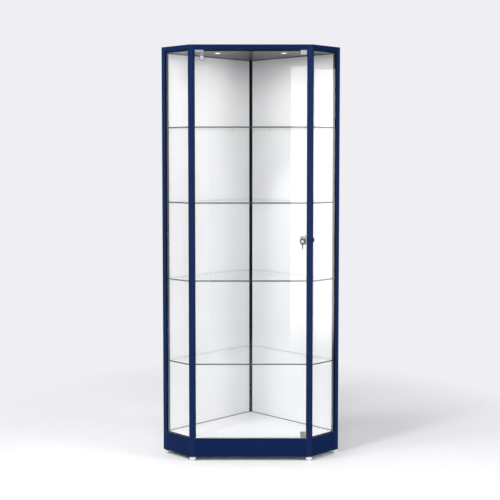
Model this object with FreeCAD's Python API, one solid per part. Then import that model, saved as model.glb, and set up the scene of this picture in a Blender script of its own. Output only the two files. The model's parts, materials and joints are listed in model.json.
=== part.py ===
import FreeCAD, Part
import math
import os

from FreeCAD import Vector

# Corner display cabinet, in millimetres. X runs to the right, Y from the door to the room's corner, Z up.
# The plan has five sides: the front, two short glass sides and two walls that meet at a right angle.

# Whole cabinet
OVERALL_HEIGHT = 1980.0
WALL_SIDE = 608.0
SIDE_PANEL = 200.0
FOOT_HEIGHT = 20.0
PLINTH_HEIGHT = 90.0
RAIL_HEIGHT = 21.5
COVER_THICKNESS = 2.0

# Clearances and cuts
SEAT_GAP = 0.3
RUNNING_GAP = 0.05
OVERRUN = 1.0

# Aluminium frame
PROFILE_WALL = 1.6
PROFILE_ROUND = 1.2
FRAME_DEPTH = 16.0
FRONT_POST_FACE = 21.0
FRONT_POST_RETURN = 9.0
OUTER_POST_WIDTH = 24.0
OUTER_POST_FACE = 25.0
PLINTH_SHEET = 2.0

# White boards and the walls
WALL_DEPTH = 18.0
PANEL_THICKNESS = 12.0
DECK_THICKNESS = 17.0
CEILING_THICKNESS = 8.0
CEILING_SETBACK = 1.5
WALL_LEDGE = 30.0
TRIM_LEG = 9.0

# Glass sides, their gaskets and the strips beside the outer posts
SIDE_GLASS_THICKNESS = 5.0
SIDE_GLASS_RECESS = 4.0
GASKET_WALL = 1.5
GASKET_LIP = 4.0
GASKET_GROOVE = 2.5
STRIP_THICKNESS = 1.5
STRIP_GAP = 0.5

# Shelves
SHELF_THICKNESS = 6.0
SHELF_SETBACK = 2.0
SHELF_GAP = 1.5
SHELF_HEIGHT_SHARES = (0.808, 0.613, 0.411, 0.193)
SUPPORT_PLACE_SHARES = (0.2, 0.75)
SUPPORT_PIN_RADIUS = 2.5
SUPPORT_PIN_REACH = 12.0
SUPPORT_PIN_DEPTH = 8.0
SUPPORT_FLANGE_RADIUS = 5.0
SUPPORT_FLANGE_THICKNESS = 1.0
SUPPORT_BRACKET_WIDTH = 8.0
SUPPORT_BRACKET_REACH = 9.0
SUPPORT_BRACKET_HEIGHT = 6.0
SUPPORT_BRACKET_INSET = 3.0

# Door glass and seals
DOOR_THICKNESS = 5.0
DOOR_RECESS = 4.0
DOOR_GAP = 3.0
SEAL_COVER = 4.5
SEAL_OFFSET = 1.9
HINGE_SEAL_WIDTH = 3.0

# Pivots of the door
PIVOT_INSET = 10.0
PIVOT_RADIUS = 3.0
PIVOT_LENGTH = 11.0
PIVOT_HOLE_GAP = 2.0
SHOE_LENGTH = 41.0
SHOE_SETBACK = 2.0
SHOE_SHEET = 1.5
SHOE_COVER = 8.0
SHOE_TONGUE = 12.0
BOSS_RADIUS = 13.0
BOSS_THICKNESS = 3.0
CAP_RADIUS = 11.5
CAP_THICKNESS = 4.0
CAP_ROUND = 1.5
CAP_WASHER_RADIUS = 14.0
CAP_WASHER_THICKNESS = 1.0
CAP_DROP = 40.5
CAP_INSET = 38.5
BOLT_RADIUS = 4.0
BOLT_HOLE_GAP = 2.0
LOWER_SHOE_COVER = 3.0
COLLAR_RADIUS = 5.0
PIVOT_BLOCK_LENGTH = 40.0
PIVOT_BLOCK_WIDTH = 9.4
PIVOT_BLOCK_HEIGHT = 9.0
TOP_SEAL_START = 12.0

# Strike clips and magnetic catches
CLIP_SHEET = 1.0
UPPER_CLIP_WIDTH = 29.0
UPPER_CLIP_HEIGHT = 20.0
LOWER_CLIP_WIDTH = 26.0
LOWER_CLIP_HEIGHT = 28.0
CATCH_WIDTH = 20.0
CATCH_DEPTH = 20.0
CATCH_HEIGHT = 12.0

# Lock
LOCK_HEIGHT = 1061.5
CASE_RADIUS = 22.5
CASE_FLAT = 8.4
CASE_THICKNESS = 10.0
CASE_ROUND = 1.5
BARREL_RADIUS = 9.0
BARREL_OFFSET = 9.5
BARREL_RISE = 8.0
BARREL_HOLE_GAP = 1.5
BACK_PLATE_RADIUS = 13.5
BACK_PLATE_THICKNESS = 3.0
RING_NUT_RADIUS = 12.0
RING_NUT_THICKNESS = 4.0
PLUG_RADIUS = 6.0
PLUG_HEAD_RADIUS = 8.0
PLUG_HEAD_THICKNESS = 1.3
PLUG_TAIL_SIDE = 6.0
PLUG_TAIL_LENGTH = 4.5
CAM_LENGTH = 34.0
CAM_WIDTH = 12.0
CAM_THICKNESS = 2.5
CAM_GAP = 1.0
KEEPER_LIP = 17.0
KEEPER_SPREAD = 2.0
KEEPER_PROUD = 5.0
KEEPER_TAB_LENGTH = 32.0
KEEPER_TAB_THICKNESS = 3.0
KEEPER_TAB_RADIUS = 10.5
KEEPER_TAB_GAP = 0.5
KEEPER_ABOVE = 8.0
KEEPER_BELOW = 20.0

# Keys and ring
KEYWAY_WIDTH = 2.4
KEYWAY_HEIGHT = 8.0
KEYWAY_DEPTH = 18.0
BLADE_THICKNESS = 2.2
BLADE_HEIGHT = 7.6
BLADE_LENGTH = 17.0
KEY_NECK = 3.0
BOW_RADIUS = 9.0
BOW_THICKNESS = 2.2
BOW_HOLE_RADIUS = 2.6
BOW_HOLE_INSET = 4.2
RING_RADIUS = 11.4
RING_WIRE_RADIUS = 1.2
SPARE_BOW_RADIUS = 7.5
SPARE_HOLE_INSET = 4.2
SPARE_BLADE_LENGTH = 13.0
SPARE_BLADE_WIDTH = 6.0
SPARE_THICKNESS = 2.4

# Levelling feet
FOOT_RADIUS = 14.0
FOOT_BASE_HEIGHT = 12.0
FOOT_BASE_ROUND = 3.0
FOOT_NUT_RADIUS = 7.5
FOOT_NUT_SIDES = 6
STEM_RADIUS = 4.0
STEM_LENGTH = 22.0
INSERT_HEIGHT = 25.0
REAR_FOOT_INSET = 27.0
REAR_BLOCK_REACH = 40.0

# Downlights and their supply
LAMP_SPREAD = 158.0
LAMP_BACK = 131.0
LENS_RADIUS = 13.0
LENS_THICKNESS = 2.0
LENS_RECESS = 0.5
BEZEL_RADIUS = 17.0
BEZEL_DROP = 4.5
BEZEL_SLOPE = 2.0
SLEEVE_RADIUS = 15.5
SLEEVE_WALL = 1.0
SLEEVE_HEIGHT = 10.0
HOUSING_HEIGHT = 18.0
DRIVER_LENGTH = 110.0
DRIVER_WIDTH = 28.0
DRIVER_HEIGHT = 12.0
DRIVER_BACK = 330.0
LEAD_RADIUS = 1.5
INLET_RADIUS = 5.5
INLET_FLANGE_RADIUS = 8.0
INLET_FLANGE_THICKNESS = 1.5
INLET_BORE_RADIUS = 2.8
INLET_BORE_DEPTH = 10.0
INLET_LENGTH = 24.0
INLET_PLACE_SHARE = 0.86

# Screws of the top cover
SCREW_HEAD_RADIUS = 3.2
SCREW_HEAD_DEPTH = 1.6
SCREW_RADIUS = 1.6
SCREW_LENGTH = 9.0
FRONT_SCREW_SHARE = 0.6
WALL_SCREW_SHARES = (0.25, 0.75)

# Derived plan
DIAGONAL_SHARE = math.sqrt(0.5)
FULL_TURN = 360.0
SIDE_TURN = FULL_TURN / 8
WALL_TURN = SIDE_TURN + FULL_TURN / 4
OUTER_X = WALL_SIDE * DIAGONAL_SHARE
OUTER_Y = SIDE_PANEL * DIAGONAL_SHARE
FRONT_X = OUTER_X - OUTER_Y
REAR_Y = OUTER_X + OUTER_Y
REVEAL_X = FRONT_X - FRONT_POST_FACE

# Derived levels
PLINTH_TOP = FOOT_HEIGHT + PLINTH_HEIGHT
DECK_BOTTOM = PLINTH_TOP - DECK_THICKNESS
COVER_BOTTOM = OVERALL_HEIGHT - COVER_THICKNESS
RAIL_BOTTOM = COVER_BOTTOM - RAIL_HEIGHT
CEILING_BOTTOM = RAIL_BOTTOM - SEAL_COVER
CEILING_TOP = CEILING_BOTTOM + CEILING_THICKNESS
SHELF_TOPS = [PLINTH_TOP + share * (CEILING_BOTTOM - PLINTH_TOP) for share in SHELF_HEIGHT_SHARES]

# Derived door and pivot places
DOOR_FRONT = DOOR_RECESS
DOOR_BACK = DOOR_FRONT + DOOR_THICKNESS
DOOR_MIDDLE = (DOOR_FRONT + DOOR_BACK) / 2
DOOR_HALF = REVEAL_X - DOOR_GAP
DOOR_BOTTOM = PLINTH_TOP + DOOR_GAP
DOOR_TOP = RAIL_BOTTOM - DOOR_GAP
SEAL_FRONT = DOOR_BACK + SEAL_OFFSET
PIVOT_X = PIVOT_INSET - DOOR_HALF
SHOE_START = SHOE_SETBACK - DOOR_HALF
FITTING_EDGE = DOOR_HALF - SHOE_SETBACK
CAP_X = CAP_INSET - REVEAL_X
CAP_Z = RAIL_BOTTOM - CAP_DROP

# Derived lock places
CASE_X = FITTING_EDGE - CASE_FLAT
LOCK_X = CASE_X - BARREL_OFFSET
LOCK_Z = LOCK_HEIGHT + BARREL_RISE
CASE_FRONT = DOOR_FRONT - CASE_THICKNESS
PLUG_FRONT = CASE_FRONT - RUNNING_GAP - PLUG_HEAD_THICKNESS
BACK_PLATE_BACK = DOOR_BACK + BACK_PLATE_THICKNESS
BARREL_END = BACK_PLATE_BACK + RING_NUT_THICKNESS
KEEPER_BACK = FRAME_DEPTH + KEEPER_PROUD
CAM_FRONT = KEEPER_BACK + CAM_GAP
CAM_TAIL_END = CAM_FRONT + PLUG_TAIL_LENGTH
SHELF_FRONT = CAM_TAIL_END + SHELF_SETBACK
BOW_Y = PLUG_FRONT - KEY_NECK - BOW_RADIUS
RING_Y = BOW_Y - BOW_RADIUS + BOW_HOLE_INSET
HOLE_SLACK = BOW_HOLE_RADIUS - RING_WIRE_RADIUS - SEAT_GAP
RING_Z = LOCK_Z - HOLE_SLACK - RING_RADIUS
SPARE_HOLE_Z = RING_Z - RING_RADIUS - HOLE_SLACK
SPARE_BOW_Z = SPARE_HOLE_Z - SPARE_BOW_RADIUS + SPARE_HOLE_INSET

# The origin lies on the floor, at the middle of the whole object's box
FRONT_REACH = min(RING_Y - SPARE_BOW_RADIUS, BOW_Y - BOW_RADIUS)
ORIGIN_Y = (FRONT_REACH + REAR_Y) / 2

UP = Vector(0, 0, 1)
BACKWARD = Vector(0, 1, 0)
ACROSS = Vector(1, 0, 0)


# Shape helpers

def side_point(along, inward):
    """A plan point on the right short side: along it from the front corner, and inwards."""
    x = FRONT_X + (along - inward) * DIAGONAL_SHARE
    y = (along + inward) * DIAGONAL_SHARE
    return Vector(x, y, 0)


def wall_point(along, inward):
    """A plan point on the right wall: along it from the outer corner, and inwards."""
    x = OUTER_X - (along + inward) * DIAGONAL_SHARE
    y = OUTER_Y + (along - inward) * DIAGONAL_SHARE
    return Vector(x, y, 0)


def outline(front, side, back):
    """The five-sided plan, anticlockwise, drawn in from the front, the short sides and the walls."""
    corner_x = FRONT_X + front - side / DIAGONAL_SHARE
    outer_y = OUTER_Y + (side - back) * DIAGONAL_SHARE
    outer_x = FRONT_X + outer_y - side / DIAGONAL_SHARE
    rear_y = REAR_Y - back / DIAGONAL_SHARE
    right = [Vector(corner_x, front, 0), Vector(outer_x, outer_y, 0)]
    left = [Vector(-outer_x, outer_y, 0), Vector(-corner_x, front, 0)]
    return right + [Vector(0, rear_y, 0)] + left


def drawn_in(points, distance):
    """An anticlockwise outline with every side moved inwards by the same distance."""
    moved = []
    for index, point in enumerate(points):
        before = (point - points[index - 1]).normalize()
        after = (points[(index + 1) % len(points)] - point).normalize()
        inward_before = UP.cross(before)
        inward_after = UP.cross(after)
        both = inward_before + inward_after
        moved.append(point + both * (distance / (1 + inward_before.dot(inward_after))))
    return moved


def prism(points, bottom, top):
    """An upright solid on a plan outline."""
    corners = [Vector(point.x, point.y, bottom) for point in points]
    face = Part.Face(Part.makePolygon(corners + corners[:1]))
    return face.extrude(UP * (top - bottom))


def box(x_low, x_high, y_low, y_high, z_low, z_high):
    """A box between two corners."""
    return Part.makeBox(x_high - x_low, y_high - y_low, z_high - z_low, Vector(x_low, y_low, z_low))


def rod(radius, start, end):
    """A round bar from one point to another."""
    return Part.makeCylinder(radius, (end - start).Length, start, end - start)


def turned(profile, centre):
    """A solid turned about an upright axis through centre, from points of radius and height."""
    corners = [Vector(radius, 0, height) for radius, height in profile]
    face = Part.Face(Part.makePolygon(corners + corners[:1]))
    solid = face.revolve(Vector(), UP, FULL_TURN)
    solid.translate(centre)
    return solid


def joined(*shapes):
    """Overlapping or touching shapes as one solid."""
    return shapes[0].multiFuse(list(shapes[1:])).removeSplitter()


def upright_edges(shape, points):
    """The upright edges of a shape that stand over the given plan points."""
    found = []
    for edge in shape.Edges:
        first, last = edge.Vertexes[0].Point, edge.Vertexes[-1].Point
        if abs(first.z - last.z) < edge.Length / 2:
            continue
        if any(Vector(first.x - point.x, first.y - point.y, 0).Length < SEAT_GAP for point in points):
            found.append(edge)
    return found


def hollow_post(points, rounded_points):
    """An extruded upright profile, with the named outer corners rounded."""
    bar = prism(points, FOOT_HEIGHT, COVER_BOTTOM)
    bar = bar.makeFillet(PROFILE_ROUND, upright_edges(bar, rounded_points))
    bore = prism(drawn_in(points, PROFILE_WALL), FOOT_HEIGHT - OVERRUN, COVER_BOTTOM + OVERRUN)
    return bar.cut(bore)


def on_side(shape):
    """Carry a shape from the right short side's own frame, x along it and y inwards, to its place."""
    placed = shape.copy()
    placed.rotate(Vector(), UP, SIDE_TURN)
    placed.translate(Vector(FRONT_X, 0, 0))
    return placed


def on_wall(shape):
    """Carry a shape from the right wall's own frame, x along it and y inwards, to its place."""
    placed = shape.copy()
    placed.rotate(Vector(), UP, WALL_TURN)
    placed.translate(Vector(OUTER_X, OUTER_Y, 0))
    return placed


def mirrored(shape):
    """The same shape on the cabinet's left side."""
    return shape.mirror(Vector(), ACROSS)


def save(name, *shapes):
    """Write one sub-part, with its solids moved to the cabinet's origin."""
    solids = [solid for shape in shapes for solid in shape.Solids]
    result = solids[0] if len(solids) == 1 else Part.makeCompound(solids)
    result.translate(Vector(0, -ORIGIN_Y, 0))
    result.exportStep(os.path.join("parts", name + ".step"))


def save_pair(name, right_shape):
    """Write the right sub-part and its mirror image on the left."""
    left_shape = mirrored(right_shape)
    save(name + "_right", right_shape)
    save(name + "_left", left_shape)


# Plan outlines of the posts and of the trim in the rear corner

FRONT_POST_OUTLINE = [
    Vector(REVEAL_X, 0, 0),
    Vector(FRONT_X, 0, 0),
    side_point(FRONT_POST_RETURN, 0),
    side_point(FRONT_POST_RETURN, FRAME_DEPTH),
    Vector(REVEAL_X, FRAME_DEPTH, 0),
]
OUTER_POST_OUTLINE = [
    wall_point(0, 0),
    wall_point(OUTER_POST_WIDTH, 0),
    wall_point(OUTER_POST_WIDTH, OUTER_POST_FACE),
    wall_point(0, OUTER_POST_FACE),
]
REAR_POST_OUTLINE = [
    wall_point(WALL_SIDE - WALL_DEPTH, 0),
    wall_point(WALL_SIDE, 0),
    wall_point(WALL_SIDE, WALL_DEPTH),
    wall_point(WALL_SIDE - WALL_DEPTH, WALL_DEPTH),
]
TRIM_OUTLINE = [
    wall_point(WALL_SIDE - WALL_DEPTH, WALL_DEPTH),
    wall_point(WALL_SIDE - WALL_DEPTH, WALL_DEPTH + TRIM_LEG),
    wall_point(WALL_SIDE - WALL_DEPTH - TRIM_LEG, WALL_DEPTH),
]


def clear_of_posts(shape, gap):
    """Cut the room that the four side posts need, with a gap round each, out of a board."""
    for points in (FRONT_POST_OUTLINE, OUTER_POST_OUTLINE):
        room = prism(drawn_in(points, -gap), 0, OVERALL_HEIGHT)
        shape = shape.cut(room).cut(mirrored(room))
    return shape


# Posts, rails and plinth

def make_posts():
    """Five hollow posts that run from the feet to the top cover."""
    front = hollow_post(FRONT_POST_OUTLINE, FRONT_POST_OUTLINE[1:3])
    outer = hollow_post(OUTER_POST_OUTLINE, OUTER_POST_OUTLINE[:1])
    rear = hollow_post(REAR_POST_OUTLINE, REAR_POST_OUTLINE[1:2])
    save_pair("front_post", front)
    save_pair("outer_post", outer)
    save("rear_post", rear)


def rail(start, end, depth):
    """A hollow top rail along an edge, open at its ends."""
    bar = box(start, end, 0, depth, RAIL_BOTTOM, COVER_BOTTOM)
    bore = box(
        start - OVERRUN, end + OVERRUN,
        PROFILE_WALL, depth - PROFILE_WALL,
        RAIL_BOTTOM + PROFILE_WALL, COVER_BOTTOM - PROFILE_WALL,
    )
    return bar.cut(bore)


def screw_points():
    """Where the screws of the top cover stand, over the middle of each rail."""
    front = Vector(FRONT_X * FRONT_SCREW_SHARE, FRAME_DEPTH / 2, 0)
    side = side_point(SIDE_PANEL / 2, FRAME_DEPTH / 2)
    walls = [wall_point(WALL_SIDE * share, WALL_DEPTH / 2) for share in WALL_SCREW_SHARES]
    right = [front, side] + walls
    return right + [Vector(-point.x, point.y, 0) for point in right]


def screw_holes(radius):
    """Round cutters at every screw of the top cover, through the cover and the rails' upper walls."""
    low = Vector(0, 0, COVER_BOTTOM - PROFILE_WALL - OVERRUN)
    high = Vector(0, 0, OVERALL_HEIGHT + OVERRUN)
    return [rod(radius, point + low, point + high) for point in screw_points()]


def inlet_axis_point(inward):
    """A point on the power inlet's axis in the right wall's frame."""
    return Vector(WALL_SIDE * INLET_PLACE_SHARE, inward, (RAIL_BOTTOM + COVER_BOTTOM) / 2)


def make_rails():
    """Five top rails between the posts."""
    holes = screw_holes(SCREW_RADIUS + RUNNING_GAP)
    pivot_low = Vector(PIVOT_X, DOOR_MIDDLE, RAIL_BOTTOM - OVERRUN)
    pivot_high = Vector(PIVOT_X, DOOR_MIDDLE, RAIL_BOTTOM + PROFILE_WALL + OVERRUN)
    front = rail(-REVEAL_X, REVEAL_X, FRAME_DEPTH)
    front = front.cut(rod(PIVOT_RADIUS + PIVOT_HOLE_GAP, pivot_low, pivot_high)).cut(holes)
    side = on_side(rail(FRONT_POST_RETURN, SIDE_PANEL - OUTER_POST_FACE, FRAME_DEPTH))
    wall = on_wall(rail(OUTER_POST_WIDTH, WALL_SIDE - WALL_DEPTH, WALL_DEPTH))
    outside = inlet_axis_point(-OVERRUN)
    inside = inlet_axis_point(WALL_DEPTH + OVERRUN)
    inlet_hole = rod(INLET_RADIUS + RUNNING_GAP, outside, inside)
    seat_room = rod(INLET_FLANGE_RADIUS + RUNNING_GAP, outside, inlet_axis_point(INLET_FLANGE_THICKNESS))
    save("top_rail_front", front)
    save_pair("top_rail_side", side.cut(holes))
    save("top_rail_back_right", wall.cut(holes).cut(on_wall(inlet_hole)).cut(on_wall(seat_room)))
    save("top_rail_back_left", mirrored(wall).cut(holes))


def plinth_panel(start, end, ledge):
    """A folded plinth panel: its face, the ledge under the deck and a bottom flange."""
    face = box(start, end, 0, PLINTH_SHEET, FOOT_HEIGHT, PLINTH_TOP)
    flange = box(start, end, 0, FRAME_DEPTH, FOOT_HEIGHT, FOOT_HEIGHT + PLINTH_SHEET)
    return joined(face, flange, prism(ledge, DECK_BOTTOM - PLINTH_SHEET, DECK_BOTTOM))


def plain_ledge(start, end):
    """The straight ledge of a front or side plinth panel."""
    outer = [Vector(start, 0, 0), Vector(end, 0, 0)]
    return outer + [Vector(end, FRAME_DEPTH, 0), Vector(start, FRAME_DEPTH, 0)]


def make_plinth():
    """Five plinth panels between the posts."""
    front = plinth_panel(-REVEAL_X, REVEAL_X, plain_ledge(-REVEAL_X, REVEAL_X))
    side_end = SIDE_PANEL - OUTER_POST_FACE
    side = plinth_panel(FRONT_POST_RETURN, side_end, plain_ledge(FRONT_POST_RETURN, side_end))
    wall_end = WALL_SIDE - WALL_DEPTH
    mitred_ledge = [
        Vector(OUTER_POST_WIDTH, 0, 0),
        Vector(wall_end, 0, 0),
        Vector(wall_end, WALL_DEPTH - SEAT_GAP, 0),
        Vector(WALL_SIDE - WALL_LEDGE, WALL_LEDGE - SEAT_GAP, 0),
        Vector(OUTER_POST_WIDTH, WALL_LEDGE - SEAT_GAP, 0),
    ]
    wall = plinth_panel(OUTER_POST_WIDTH, wall_end, mitred_ledge)
    save("plinth_front", front)
    save_pair("plinth_side", on_side(side))
    save_pair("plinth_back", on_wall(wall))


# Boards, walls and the top cover

def make_boards():
    """Deck, ceiling, two back walls and the black trim between them."""
    deck_front = PLINTH_SHEET + SEAT_GAP
    deck = prism(outline(deck_front, deck_front, WALL_DEPTH + SEAT_GAP), DECK_BOTTOM, PLINTH_TOP)
    deck = clear_of_posts(deck, SEAT_GAP)
    deck = deck.cut(lower_pivot_room())
    ceiling_front = FRAME_DEPTH + CEILING_SETBACK
    ceiling_outline = outline(ceiling_front, FRAME_DEPTH + SEAT_GAP, WALL_DEPTH + SEAT_GAP)
    ceiling = prism(ceiling_outline, CEILING_BOTTOM, CEILING_TOP)
    ceiling = clear_of_posts(ceiling, SEAT_GAP)
    for centre in lamp_centres():
        ceiling = ceiling.cut(rod(SLEEVE_RADIUS + SEAT_GAP, centre, centre + UP * (CEILING_THICKNESS * 2)))
    panel = box(
        OUTER_POST_WIDTH, WALL_SIDE - WALL_DEPTH,
        WALL_DEPTH - PANEL_THICKNESS, WALL_DEPTH,
        DECK_BOTTOM, RAIL_BOTTOM,
    )
    for place in support_pin_places():
        hole_start = place - BACKWARD * SUPPORT_PIN_DEPTH
        panel = panel.cut(rod(SUPPORT_PIN_RADIUS + RUNNING_GAP, hole_start, place + BACKWARD * OVERRUN))
    save("deck_panel", deck)
    save("ceiling_panel", ceiling)
    save_pair("back_panel", on_wall(panel))
    save("rear_corner_trim", prism(TRIM_OUTLINE, PLINTH_TOP, CEILING_BOTTOM))


def make_cover():
    """The top sheet and its countersunk screws."""
    cover = prism(outline(0, 0, 0), COVER_BOTTOM, OVERALL_HEIGHT)
    cover = cover.cut(screw_holes(SCREW_RADIUS + RUNNING_GAP))
    screws = []
    for point in screw_points():
        head_bottom = OVERALL_HEIGHT - SCREW_HEAD_DEPTH
        profile = [
            (0, OVERALL_HEIGHT),
            (SCREW_HEAD_RADIUS, OVERALL_HEIGHT),
            (SCREW_RADIUS, head_bottom),
            (SCREW_RADIUS, OVERALL_HEIGHT - SCREW_LENGTH),
            (0, OVERALL_HEIGHT - SCREW_LENGTH),
        ]
        screw = turned(profile, point)
        sink = Part.makeCone(
            SCREW_RADIUS, SCREW_HEAD_RADIUS, SCREW_HEAD_DEPTH, Vector(point.x, point.y, head_bottom)
        )
        cover = cover.cut(sink)
        screws.append(screw)
    save("top_cover", cover)
    save("cover_screws", *screws)


# Glass sides

def make_glass_sides():
    """The short glass sides, the gasket round each, and the strips beside the outer posts."""
    start = FRONT_POST_RETURN
    end = SIDE_PANEL - OUTER_POST_FACE
    glass_in = GASKET_LIP - GASKET_GROOVE
    glass_back = SIDE_GLASS_RECESS + SIDE_GLASS_THICKNESS
    glass = box(
        start + glass_in, end - glass_in,
        SIDE_GLASS_RECESS, glass_back,
        PLINTH_TOP + glass_in, RAIL_BOTTOM - glass_in,
    )
    gasket = box(
        start, end,
        SIDE_GLASS_RECESS - GASKET_WALL, glass_back + GASKET_WALL,
        PLINTH_TOP, RAIL_BOTTOM,
    )
    window = box(
        start + GASKET_LIP, end - GASKET_LIP,
        0, glass_back + GASKET_WALL + OVERRUN,
        PLINTH_TOP + GASKET_LIP, RAIL_BOTTOM - GASKET_LIP,
    )
    gasket = on_side(gasket.cut(window).cut(glass))
    strip = on_wall(box(
        glass_back + GASKET_WALL + STRIP_GAP, OUTER_POST_WIDTH,
        OUTER_POST_FACE, OUTER_POST_FACE + STRIP_THICKNESS,
        PLINTH_TOP, CEILING_BOTTOM,
    ))
    save_pair("side_glass", on_side(glass))
    save("side_glass_gaskets", gasket, mirrored(gasket))
    save("post_return_strips", strip, mirrored(strip))


# Shelves

def support_pin_places():
    """Where the shelf pins leave the wall's face, in the right wall's frame."""
    places = []
    for top in SHELF_TOPS:
        level = top - SHELF_THICKNESS - SUPPORT_PIN_RADIUS
        places += [Vector(WALL_SIDE * share, WALL_DEPTH, level) for share in SUPPORT_PLACE_SHARES]
    return places


def make_shelves():
    """Four glass shelves with the shape of the interior, and the supports under them."""
    shelf_side = SIDE_GLASS_RECESS + SIDE_GLASS_THICKNESS + GASKET_WALL + SHELF_GAP
    shelf_outline = outline(SHELF_FRONT, shelf_side, WALL_DEPTH + SHELF_GAP)
    strip_room_back = OUTER_POST_FACE + STRIP_THICKNESS + SHELF_GAP
    corner_room = on_wall(box(0, OUTER_POST_WIDTH + SHELF_GAP, 0, strip_room_back, 0, OVERALL_HEIGHT))
    trim_room = prism(drawn_in(TRIM_OUTLINE, -SHELF_GAP), 0, OVERALL_HEIGHT)
    for index, top in enumerate(SHELF_TOPS):
        shelf = prism(shelf_outline, top - SHELF_THICKNESS, top)
        shelf = shelf.cut(corner_room).cut(mirrored(corner_room)).cut(trim_room)
        save("glass_shelf_" + str(index + 1), shelf)
    supports = []
    for place in support_pin_places():
        pin_start = place - BACKWARD * SUPPORT_PIN_DEPTH
        pin = rod(SUPPORT_PIN_RADIUS, pin_start, place + BACKWARD * SUPPORT_PIN_REACH)
        flange = rod(SUPPORT_FLANGE_RADIUS, place, place + BACKWARD * SUPPORT_FLANGE_THICKNESS)
        support = on_wall(joined(pin, flange))
        supports += [support, mirrored(support)]
    bracket_start = REVEAL_X + SUPPORT_BRACKET_INSET
    for top in SHELF_TOPS:
        seat = top - SHELF_THICKNESS
        bracket = box(
            bracket_start, bracket_start + SUPPORT_BRACKET_WIDTH,
            FRAME_DEPTH - OVERRUN, SHELF_FRONT + SUPPORT_BRACKET_REACH,
            seat - SUPPORT_BRACKET_HEIGHT, seat,
        )
        bracket = bracket.cut(prism(FRONT_POST_OUTLINE, 0, OVERALL_HEIGHT))
        supports += [bracket, mirrored(bracket)]
    save("shelf_supports", *supports)


# Door glass, seals and pivots

def lower_pivot_room():
    """The pocket in the deck's front edge for the lower pivot block."""
    start = PIVOT_X - PIVOT_INSET - SEAT_GAP
    end = start + PIVOT_BLOCK_LENGTH + SEAT_GAP * 2
    back = PLINTH_SHEET + PIVOT_BLOCK_WIDTH + SEAT_GAP * 3
    return box(start, end, 0, back, PLINTH_TOP - PIVOT_BLOCK_HEIGHT, PLINTH_TOP + OVERRUN)


def make_door_glass():
    """The frameless door pane, with holes for the pivot's bolt and the lock's barrel."""
    glass = box(-DOOR_HALF, DOOR_HALF, DOOR_FRONT, DOOR_BACK, DOOR_BOTTOM, DOOR_TOP)
    through = BACKWARD * (DOOR_THICKNESS + OVERRUN * 2)
    bolt_start = Vector(CAP_X, DOOR_FRONT - OVERRUN, CAP_Z)
    lock_start = Vector(LOCK_X, DOOR_FRONT - OVERRUN, LOCK_Z)
    glass = glass.cut(rod(BOLT_RADIUS + BOLT_HOLE_GAP, bolt_start, bolt_start + through))
    glass = glass.cut(rod(BARREL_RADIUS + BARREL_HOLE_GAP, lock_start, lock_start + through))
    save("door_glass", glass)


def make_seals():
    """Straight door seals on the hinge post, on the lock post and under the top rail."""
    inner_x = REVEAL_X - SEAL_COVER
    hinge_front = FRAME_DEPTH - HINGE_SEAL_WIDTH
    hinge_seal = box(-REVEAL_X, -inner_x, hinge_front, FRAME_DEPTH, PLINTH_TOP, RAIL_BOTTOM)
    lock_seal = box(inner_x, REVEAL_X, SEAL_FRONT, FRAME_DEPTH, PLINTH_TOP, RAIL_BOTTOM)
    top_seal = box(PIVOT_X + TOP_SEAL_START, inner_x, SEAL_FRONT, FRAME_DEPTH, CEILING_BOTTOM, RAIL_BOTTOM)
    save("door_seals", hinge_seal, lock_seal, top_seal)


def make_upper_pivot():
    """The upper shoe with its pin, and the cap that clamps it through the glass."""
    shoe_end = SHOE_START + SHOE_LENGTH
    shoe_bottom = DOOR_TOP - SHOE_COVER
    shoe_top = DOOR_TOP + SHOE_SHEET
    shoe_back = DOOR_BACK + SHOE_SHEET
    shoe = box(SHOE_START, shoe_end, DOOR_FRONT - SHOE_SHEET, shoe_back, shoe_bottom, shoe_top)
    glass_slot = box(
        SHOE_START - OVERRUN, shoe_end + OVERRUN, DOOR_FRONT, DOOR_BACK, shoe_bottom - OVERRUN, DOOR_TOP
    )
    tongue = box(
        CAP_X - SHOE_TONGUE / 2, CAP_X + SHOE_TONGUE / 2, DOOR_BACK, shoe_back, CAP_Z, shoe_bottom + OVERRUN
    )
    boss_start = Vector(CAP_X, DOOR_BACK, CAP_Z)
    boss = rod(BOSS_RADIUS, boss_start, boss_start + BACKWARD * BOSS_THICKNESS)
    axis = Vector(PIVOT_X, DOOR_MIDDLE, 0)
    pin = rod(PIVOT_RADIUS, axis + UP * DOOR_TOP, axis + UP * (shoe_top + PIVOT_LENGTH))
    bolt_end = boss_start + BACKWARD * BOSS_THICKNESS
    shoe = joined(shoe.cut(glass_slot), tongue, boss, pin).cut(rod(BOLT_RADIUS, boss_start, bolt_end))
    glass_face = Vector(CAP_X, DOOR_FRONT, CAP_Z)
    washer = rod(CAP_WASHER_RADIUS, glass_face, glass_face - BACKWARD * CAP_WASHER_THICKNESS)
    cap = rod(CAP_RADIUS, glass_face, glass_face - BACKWARD * (CAP_WASHER_THICKNESS + CAP_THICKNESS))
    rim = [edge for edge in cap.Edges if edge.BoundBox.YMax < DOOR_FRONT - CAP_THICKNESS]
    cap = cap.makeFillet(CAP_ROUND, rim)
    bolt = rod(BOLT_RADIUS, glass_face, bolt_end)
    save("hinge_top_shoe", shoe)
    save("hinge_top_cap", joined(washer, cap, bolt))


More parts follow.
